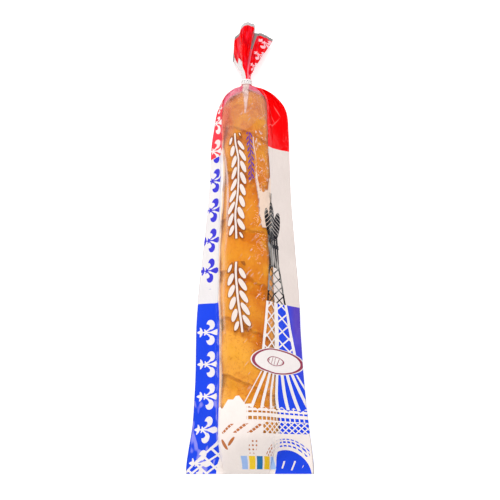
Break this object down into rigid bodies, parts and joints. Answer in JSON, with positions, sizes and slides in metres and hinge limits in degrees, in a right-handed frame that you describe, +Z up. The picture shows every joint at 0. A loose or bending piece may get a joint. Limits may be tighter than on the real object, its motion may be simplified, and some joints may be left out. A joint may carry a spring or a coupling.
{
  "type": "baguette in a clear printed film bag",
  "caption": "Slashed golden baguette in a clear film bag with flat slack sides, a welded bottom edge and a gathered neck closed by a white band, lying on its base.",
  "frame": {"origin": "middle of the bag's plan outline, on the flat of the loaf's base that the pack rests on", "axes": "+Y along the loaf from the welded edge to the tail, +Z up through the slashed side that shows, X across"},
  "size_m": [0.15, 0.574, 0.0592],
  "materials": {
    "printed_film": "glossy clear film printed in red, white and blue",
    "crust": "golden brown baked crust",
    "white_band": "matt white"
  },
  "bodies": {
    "root": {"bag": "printed_film", "band": "white_band"}
  },
  "joints": []
}
